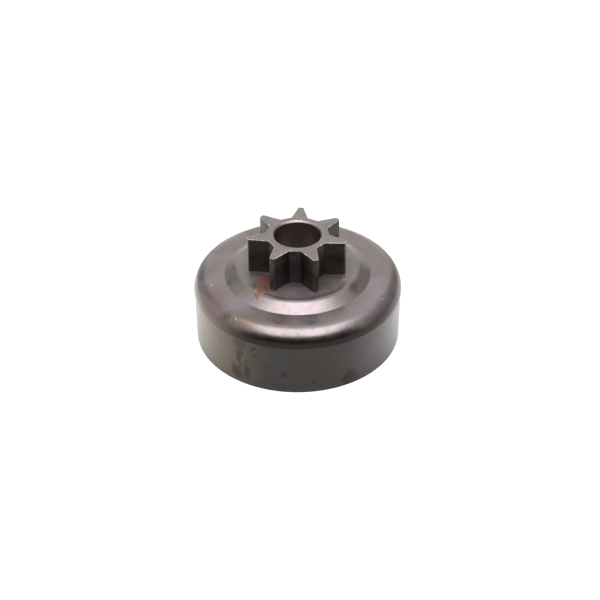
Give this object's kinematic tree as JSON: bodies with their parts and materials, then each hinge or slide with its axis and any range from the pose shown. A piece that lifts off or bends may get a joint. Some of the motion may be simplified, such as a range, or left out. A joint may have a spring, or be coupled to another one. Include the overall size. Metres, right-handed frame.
{
  "type": "chainsaw clutch drum with spur sprocket",
  "caption": "Pressed steel clutch drum for a chainsaw, standing on its open rim, with a rounded shoulder, a raised boss and a star-shaped spur sprocket with a plain bearing bore.",
  "frame": {"origin": "centre of the open rim, on the plane that the drum stands on", "axes": "+Z along the shaft axis from the open rim towards the sprocket; -Y faces the camera of the picture"},
  "size_m": [0.0786, 0.0784, 0.0434],
  "materials": {
    "drum_steel": "oiled pressed steel, turned wall, brown stains and small pits",
    "sprocket_steel": "hardened satin steel with light burrs along the edges",
    "braze_copper": "dull copper braze"
  },
  "bodies": {
    "root": {"clutch_drum": "drum_steel", "spur_sprocket": "sprocket_steel", "braze_fillet": "braze_copper"}
  },
  "joints": []
}
